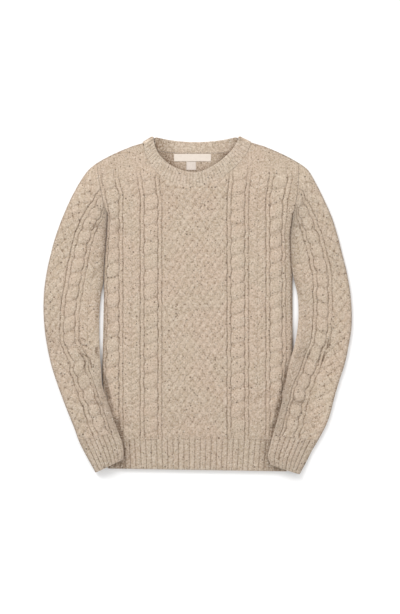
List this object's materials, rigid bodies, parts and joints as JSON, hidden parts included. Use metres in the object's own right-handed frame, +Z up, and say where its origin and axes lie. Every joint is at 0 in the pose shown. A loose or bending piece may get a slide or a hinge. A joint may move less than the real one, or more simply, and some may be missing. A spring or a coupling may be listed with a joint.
{
  "type": "fisherman sweater",
  "caption": "Crew-neck cable-knit pullover laid flat, front up, with ribbed hem, cuffs and neckband; the cuffs lie over the corners of the hem.",
  "frame": {"origin": "centre of the garment's footprint, on the surface that it lies on", "axes": "+Z up from the surface, +Y toward the neck, +X toward the right sleeve as the picture shows it"},
  "size_m": [0.6157, 0.6735, 0.0237],
  "materials": {
    "cable_knit": "matt oatmeal tweed wool, cable knitted, with dark and cream flecks",
    "rib_knit": "the same tweed wool in a close rib",
    "label_cloth": "cream woven label, bare",
    "tab_cloth": "cream woven tab, bare"
  },
  "bodies": {
    "root": {"front_panel": "cable_knit", "back_panel": "cable_knit", "sleeve_left": "cable_knit", "sleeve_right": "cable_knit", "hem_rib_front": "rib_knit", "hem_rib_back": "rib_knit", "cuff_left": "rib_knit", "cuff_right": "rib_knit", "neckband": "rib_knit", "neck_label": "label_cloth", "size_tab": "tab_cloth"}
  },
  "joints": []
}
